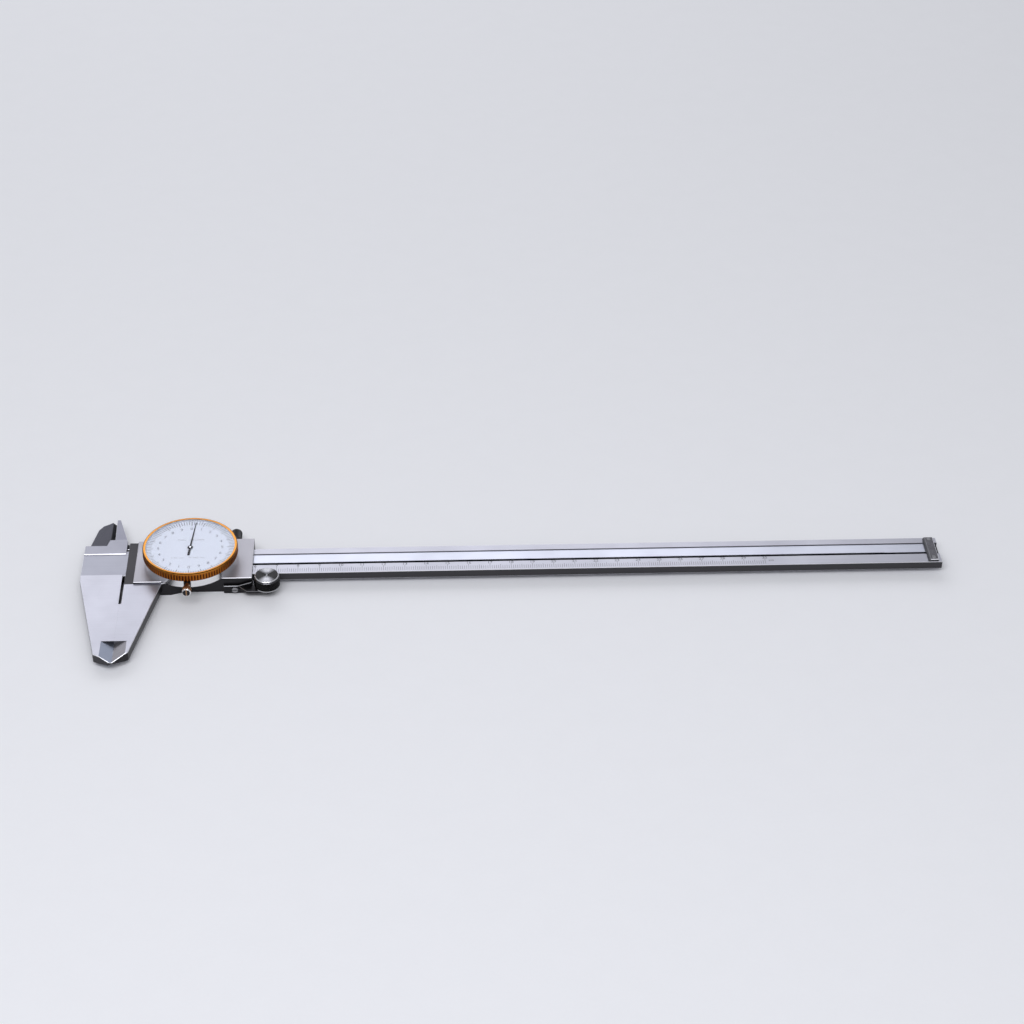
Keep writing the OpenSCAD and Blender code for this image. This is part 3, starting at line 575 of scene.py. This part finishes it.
def cut_slot(piece, centre, size_mm):
    """Cuts a box-shaped slot out of a piece."""
    cutter_mesh = mesh_from(lambda work: add_bar(work, centre, [edge * MM for edge in size_mm]))
    cutter = bpy.data.objects.new("cutter", cutter_mesh)
    bpy.context.scene.collection.objects.link(cutter)
    cut = piece.modifiers.new("slot", "BOOLEAN")
    cut.operation = "DIFFERENCE"
    cut.solver = "EXACT"
    cut.object = cutter
    apply_modifiers(piece)
    bpy.data.objects.remove(cutter)


def add_bar(work, centre, size, angle=0.0):
    """A box turned about an upright line through its centre."""
    place = Matrix.Translation(centre) @ Matrix.Rotation(angle, 4, "Z") @ Matrix.Diagonal((*size, 1))
    bmesh.ops.create_cube(work, size=1, matrix=place)


# Height of a capital in the built-in face, as a share of the text size
CAPITAL_SHARE = 0.73


def lettering(words, thickness, spacing=1.0):
    """One mesh from (text, height_mm, place) entries, in the plain built-in face."""
    whole = bmesh.new()
    for text, height_mm, place in words:
        curve = bpy.data.curves.new("lettering", "FONT")
        curve.body = text
        curve.size = height_mm * MM / CAPITAL_SHARE
        curve.space_character = spacing
        curve.align_x = "CENTER"
        curve.align_y = "CENTER"
        curve.extrude = thickness / 2
        curve.resolution_u = 3
        holder = bpy.data.objects.new("lettering", curve)
        bpy.context.scene.collection.objects.link(holder)
        holder.location = place
        bpy.context.view_layer.update()
        mesh = bpy.data.meshes.new_from_object(holder.evaluated_get(bpy.context.evaluated_depsgraph_get()))
        mesh.transform(Matrix.Translation(place))
        whole.from_mesh(mesh)
        bpy.data.objects.remove(holder)
        bpy.data.meshes.remove(mesh)
        bpy.data.curves.remove(curve)
    result = bpy.data.meshes.new("lettering")
    whole.to_mesh(result)
    whole.free()
    return result


# ---------------------------------------------------------------- beam and slider

bevelled("beam", 0.22, beam_steel, "beam")
bevelled("end_stop", 0.25, stop_steel, "beam")
bevelled("slider_body", 0.2, slider_steel, "slider")
bevelled("cover_plate", 0.15, plate_steel, "slider")
bevelled("roller_arm", 0.2, arm_steel, "slider")
bevelled("dial_housing", 0.15, housing_steel, "slider")

PRINT_T = 0.008 * MM
scale_print_z = beam_front + PRINT_T / 2
TICK_FOOT_MM = -8.5
TICK_W_MM = 0.16
CM_TICK_MM, HALF_TICK_MM, MM_TICK_MM = 3.7, 3.0, 2.4
SCALE_NUMBER_MM = 1.8
SCALE_NUMBER_Y_MM = -4.0
UNIT_MM = 1.5
UNIT_X_MM, UNIT_Y_MM = 302.9, -6.0


def beam_ticks(work):
    """Millimetre lines from 0 to 300, longer at 5 and 10."""
    for mark in range(301):
        length_mm = CM_TICK_MM if mark % 10 == 0 else HALF_TICK_MM if mark % 5 == 0 else MM_TICK_MM
        place = Vector((reading_edge + mark * MM, (TICK_FOOT_MM + length_mm / 2) * MM, scale_print_z))
        add_bar(work, place, (TICK_W_MM * MM, length_mm * MM, PRINT_T))


new_piece("scale_lines", mesh_from(beam_ticks), scale_ink, "beam")
scale_words = [
    (str(cm), SCALE_NUMBER_MM, Vector((reading_edge + cm * 10 * MM, SCALE_NUMBER_Y_MM * MM, scale_print_z)))
    for cm in range(1, 31)]
scale_words.append(("cm", UNIT_MM, Vector((reading_edge + UNIT_X_MM * MM, UNIT_Y_MM * MM, scale_print_z))))
new_piece("scale_numbers", lettering(scale_words, PRINT_T), scale_ink, "beam")


# ---------------------------------------------------------------- dial

# The face is turned slightly, as in the photo
FACE_TURN_DEG = -1.2
DIVISIONS = 100
DIVISION_DEG = 360 / DIVISIONS
NUMBERS = 20
LINE_OUTER_MM = 20.45
# Inner radius and width of a long line, at every fifth, and of a short one
LONG_LINE_MM = (17.3, 0.30)
SHORT_LINE_MM = (18.1, 0.24)
DIAL_NUMBER_MM = 1.95
DIAL_NUMBER_R_MM = 14.9
SMALL_SPACING = 1.35
dial_print_z = face_high.z + PRINT_T / 2


def dial_point(angle_deg, radius_mm):
    """A point on the dial, with the angle clockwise from twelve o'clock."""
    angle = math.radians(angle_deg + FACE_TURN_DEG)
    return Vector((dial_centre.x + radius_mm * MM * math.sin(angle),
                   dial_centre.y + radius_mm * MM * math.cos(angle), dial_print_z))


def dial_ticks(work):
    """A hundred division lines, longer at every fifth."""
    for mark in range(DIVISIONS):
        inner_mm, width_mm = LONG_LINE_MM if mark % 5 == 0 else SHORT_LINE_MM
        size = (width_mm * MM, (LINE_OUTER_MM - inner_mm) * MM, PRINT_T)
        add_bar(work, dial_point(mark * DIVISION_DEG, (LINE_OUTER_MM + inner_mm) / 2), size,
                -math.radians(mark * DIVISION_DEG + FACE_TURN_DEG))


new_piece("dial_lines", mesh_from(dial_ticks), ink_black, "bezel")
dial_words = [(str(index % 10), DIAL_NUMBER_MM, dial_point(index * 360 / NUMBERS, DIAL_NUMBER_R_MM))
              for index in range(NUMBERS)]
new_piece("dial_numbers", lettering(dial_words, PRINT_T), ink_blue, "bezel")
dial_middle = Vector((dial_centre.x, dial_centre.y, dial_print_z))
small_words = [("DIAL  CALIPER", 1.05, dial_middle + Vector((0, 6.1 * MM, 0))),
               ("0.02 mm    0-300 mm", 0.95, dial_middle + Vector((-0.6 * MM, -7.6 * MM, 0)))]
new_piece("dial_small_print", lettering(small_words, PRINT_T, spacing=SMALL_SPACING), ink_grey, "bezel")


BEZEL_WALL_MM = 1.2
# Room round the retaining ring in the bezel's groove, outwards and along the axis
RING_CLEAR_MM = 0.1
RING_PLAY_MM = 0.08
BEZEL_RIBS = 100
BEZEL_RIB_MM = 0.4
# Above 1 the grooves between the ribs are narrower than the ribs
BEZEL_RIB_SHAPE = 1.5
BEZEL_SHARP_DEG = 40


def bezel_outline():
    """Section of the bezel: straight knurl on its side, smooth rim on top, step for the face inside.

    The groove in its bore clears the retaining ring.
    """
    rim, low, high = bezel_r / MM, bezel_low.z / MM, bezel_high.z / MM
    lip, seat = face_r / MM + 0.03, face_low.z / MM
    bore = rim - BEZEL_WALL_MM
    groove = (ring_high.x - ring_low.x) / 2 / MM + RING_CLEAR_MM
    groove_low, groove_high = ring_low.z / MM - RING_PLAY_MM, ring_high.z / MM + RING_PLAY_MM
    return [(bore, low, 0), (rim - 0.4, low, 0), (rim - 0.15, low + 0.15, 0.3), (rim, low + 0.45, 1),
            (rim, high - 1.35, 1), (rim - 0.06, high - 1.1, 0.4), (rim - 0.1, high - 0.95, 0),
            (rim - 0.1, high - 0.42, 0), (rim - 0.22, high - 0.14, 0), (rim - 0.5, high, 0),
            (lip + 0.25, high, 0), (lip + 0.06, high - 0.08, 0), (lip, high - 0.25, 0),
            (lip, seat, 0), (lip - 1.0, seat, 0), (lip - 1.0, seat - 0.3, 0), (bore, seat - 0.3, 0),
            (bore, groove_high, 0), (groove, groove_high, 0), (groove, groove_low, 0), (bore, groove_low, 0)]


bezel_mesh = lathe(bezel_outline(), Vector((dial_centre.x, dial_centre.y, 0)), BEZEL_RIBS, BEZEL_RIB_MM,
                   rib_shape=BEZEL_RIB_SHAPE, closed=True)
bezel = new_piece("bezel_knurled", bezel_mesh, bezel_gold, "bezel", smooth_angle=BEZEL_SHARP_DEG)
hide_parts("bezel_ring")


# ---------------------------------------------------------------- turned and knurled screws, thumb roller

ROLLER_RIBS = 60
ROLLER_RIB_MM = 0.24
CLAMP_RIBS = 26
CLAMP_RIB_MM = 0.22
CLAMP_CHAMFER_MM = 0.5
CLAMP_SLOT_MM = (0.6, 1.4, 6)
LOCK_RIBS = 34
LOCK_RIB_MM = 0.2
KNURLED_SHARP_DEG = 35


def roller_outline():
    """Section of the thumb roller with its stud, from the bottom to the dished middle of its cap."""
    rim, high, low = roller_r / MM, roller_high.z / MM, roller_low.z / MM
    groove, cap = rim - 0.66, rim - 0.34
    stud = [(0, low, 0), (1.3, low, 0), (1.5, low + 0.2, 0), (1.5, low + 0.38, 0), (1.1, low + 0.38, 0),
            (1.1, low + 0.82, 0), (1.5, low + 0.82, 0), (1.5, low + 2.5, 0)]
    side = [(rim - 0.3, low + 2.5, 0), (rim - 0.02, low + 2.75, 0), (rim, low + 3.6, 0),
            (rim - 0.15, low + 3.8, 0), (rim - 0.15, low + 3.95, 0), (rim, low + 4.1, 1),
            (rim, high - 1.45, 1), (rim - 0.02, high - 1.25, 0), (rim - 0.3, high - 0.95, 0),
            (groove, high - 0.95, 0), (groove, high - 0.7, 0)]
    top = [(cap, high - 0.7, 0), (cap, high - 0.35, 0), (cap - 0.33, high - 0.02, 0), (cap - 0.42, high, 0),
           (0.35, high, 0), (0.28, high - 0.04, 0), (0, high - 0.25, 0)]
    return stud + side + top


roller_mesh = lathe(roller_outline(), Vector((roller_centre.x, roller_centre.y, 0)), ROLLER_RIBS,
                    ROLLER_RIB_MM)
roller = new_piece("thumb_roller_turned", roller_mesh, roller_steel, "roller",
                   smooth_angle=KNURLED_SHARP_DEG)
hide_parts("thumb_roller")


def knurled_head(rim, foot, top, edge):
    """Section of a knurled screw head from height foot to top, with its end chamfered by edge."""
    return [(rim - 0.2, foot, 0), (rim, foot + 0.2, 1), (rim, top - edge, 1),
            (rim - 0.03, top - edge + 0.02, 0), (rim - edge, top, 0)]


clamp_rim = clamp_r / MM
clamp_end = clamp_high.y / MM - clamp_low.y / MM
clamp_outline = ([(0, 0, 0), (0.8, 0, 0), (0.8, 2.8, 0), (1.3, 2.8, 0), (1.3, 5.35, 0)]
                 + knurled_head(clamp_rim, 5.4, clamp_end, CLAMP_CHAMFER_MM) + [(0, clamp_end, 0)])
clamp_mesh = lathe(clamp_outline, Vector((clamp_centre.x, clamp_high.y, clamp_centre.z)), CLAMP_RIBS,
                   CLAMP_RIB_MM, facing="-Y")
clamp = new_piece("bezel_clamp_knurled", clamp_mesh, clamp_gold, "bezel_clamp",
                  smooth_angle=KNURLED_SHARP_DEG)
cut_slot(clamp, Vector((clamp_centre.x, clamp_low.y, clamp_centre.z)), CLAMP_SLOT_MM)
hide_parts("bezel_clamp_screw")

lock_rim = lock_r / MM
lock_end = lock_high.y / MM - lock_low.y / MM
lock_outline = ([(0, 0, 0), (1.1, 0, 0), (1.25, 0.2, 0), (1.25, 6, 0), (2, 6, 0), (2, 7.4, 0), (2.1, 7.4, 0)]
                + [(lock_rim, 8, 1), (lock_rim, lock_end - 0.75, 1), (lock_rim - 0.05, lock_end - 0.7, 0),
                   (lock_rim - 0.7, lock_end, 0), (0, lock_end, 0)])
lock_mesh = lathe(lock_outline, Vector((lock_centre.x, lock_low.y, lock_centre.z)), LOCK_RIBS, LOCK_RIB_MM,
                  facing="Y")
lock = new_piece("lock_screw_knurled", lock_mesh, lock_steel, "slider_lock",
                 smooth_angle=KNURLED_SHARP_DEG)
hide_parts("lock_screw")


# ---------------------------------------------------------------- materials on the CAD nodes that stay

NODE_MATERIALS = {
    "rack": rack_steel, "end_stop_screws": screw_steel, "back_plate": plate_steel,
    "back_plate_screws": fine_steel, "gib_strip": brass, "gib_screws": dark_steel, "depth_rod": rod_steel,
    "depth_rod_screw": fine_steel, "roller_arm_screw": screw_steel, "housing_screws": fine_steel,
    "movement_plate": brass, "movement_screws": fine_steel, "lower_bushes": brass,
    "bridge_pillars": fine_steel, "movement_bridge": brass, "bridge_screws": dark_steel,
    "upper_bushes": brass, "bezel_retaining_ring": fine_steel, "bezel_clamp_shoe": dark_steel,
    "roller_clip": dark_steel, "crystal": crystal_clear, "dial_face": enamel, "rack_pinion": fine_steel,
    "drive_gear": brass, "backlash_gear": brass, "backlash_spring": dark_steel,
    "centre_pinion": fine_steel, "needle": needle_black, "needle_hub": hub_steel,
}
for node, material in NODE_MATERIALS.items():
    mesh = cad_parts[node].data
    mesh.materials.clear()
    mesh.materials.append(material)


# ---------------------------------------------------------------- floor, light and camera

FLOOR_HALF_SIZE = 3.0
FLOOR_X = 0.18
FLOOR_GAP = 0.05 * MM
LAMP_TARGET = Vector((0.15, 0, 0))
COOL = (0.93, 0.94, 1.0)
SKY = (0.92, 0.94, 1.0, 1)
SKY_STRENGTH = 0.42

floor_mesh = mesh_from(
    lambda work: bmesh.ops.create_grid(work, x_segments=1, y_segments=1, size=FLOOR_HALF_SIZE))
floor = bpy.data.objects.new("floor", floor_mesh)
bpy.context.scene.collection.objects.link(floor)
floor.location = (FLOOR_X, 0, cad_box[0][Z] - FLOOR_GAP)
floor_mesh.materials.append(
    speckled("floor_paper", (0.90, 0.90, 0.905), 0.85, cell_mm=1.5, contrast=0.01, depth_mm=0))


def soft_box(name, place, width, depth, energy, colour):
    """A large lamp at place, aimed at the middle of the caliper."""
    data = bpy.data.lights.new(name, "AREA")
    data.shape = "RECTANGLE"
    data.size = width
    data.size_y = depth
    data.energy = energy
    data.color = colour
    lamp = bpy.data.objects.new(name, data)
    bpy.context.scene.collection.objects.link(lamp)
    lamp.location = place
    lamp.rotation_euler = (LAMP_TARGET - Vector(place)).to_track_quat("-Z", "Y").to_euler()


soft_box("key", (0.0, -0.75, 1.1), 1.1, 0.5, 8.5, COOL)
soft_box("back", (-0.1, 1.25, 0.95), 1.6, 0.8, 6.0, COOL)
world = bpy.data.worlds.new("studio")
bpy.context.scene.world = world
world.use_nodes = True
world.node_tree.nodes["Background"].inputs["Color"].default_value = SKY
world.node_tree.nodes["Background"].inputs["Strength"].default_value = SKY_STRENGTH
bpy.context.scene.view_settings.view_transform = "Standard"

CAMERA_TARGET = Vector((0.1830, 0.0359, 0.0065))
CAMERA_DISTANCE = 1.129
CAMERA_AZIMUTH = math.radians(-2.93)
CAMERA_ELEVATION = math.radians(36.12)
CAMERA_ROLL = math.radians(0.79)
SENSOR_WIDTH_MM = 36
LENS_MM = 81.88
CLIP_START = 0.05
backward = Vector((math.sin(CAMERA_AZIMUTH) * math.cos(CAMERA_ELEVATION),
                   -math.cos(CAMERA_AZIMUTH) * math.cos(CAMERA_ELEVATION), math.sin(CAMERA_ELEVATION)))
level = Vector((0, 0, 1)).cross(backward).normalized()
upward = backward.cross(level)
right = level * math.cos(CAMERA_ROLL) + upward * math.sin(CAMERA_ROLL)
top = upward * math.cos(CAMERA_ROLL) - level * math.sin(CAMERA_ROLL)
camera_data = bpy.data.cameras.new("camera")
camera_data.sensor_width = SENSOR_WIDTH_MM
camera_data.lens = LENS_MM
camera_data.clip_start = CLIP_START
camera = bpy.data.objects.new("camera", camera_data)
bpy.context.scene.collection.objects.link(camera)
camera.matrix_world = Matrix.Translation(CAMERA_TARGET + backward * CAMERA_DISTANCE) @ Matrix(
    (right, top, backward)).transposed().to_4x4()
bpy.context.scene.camera = camera
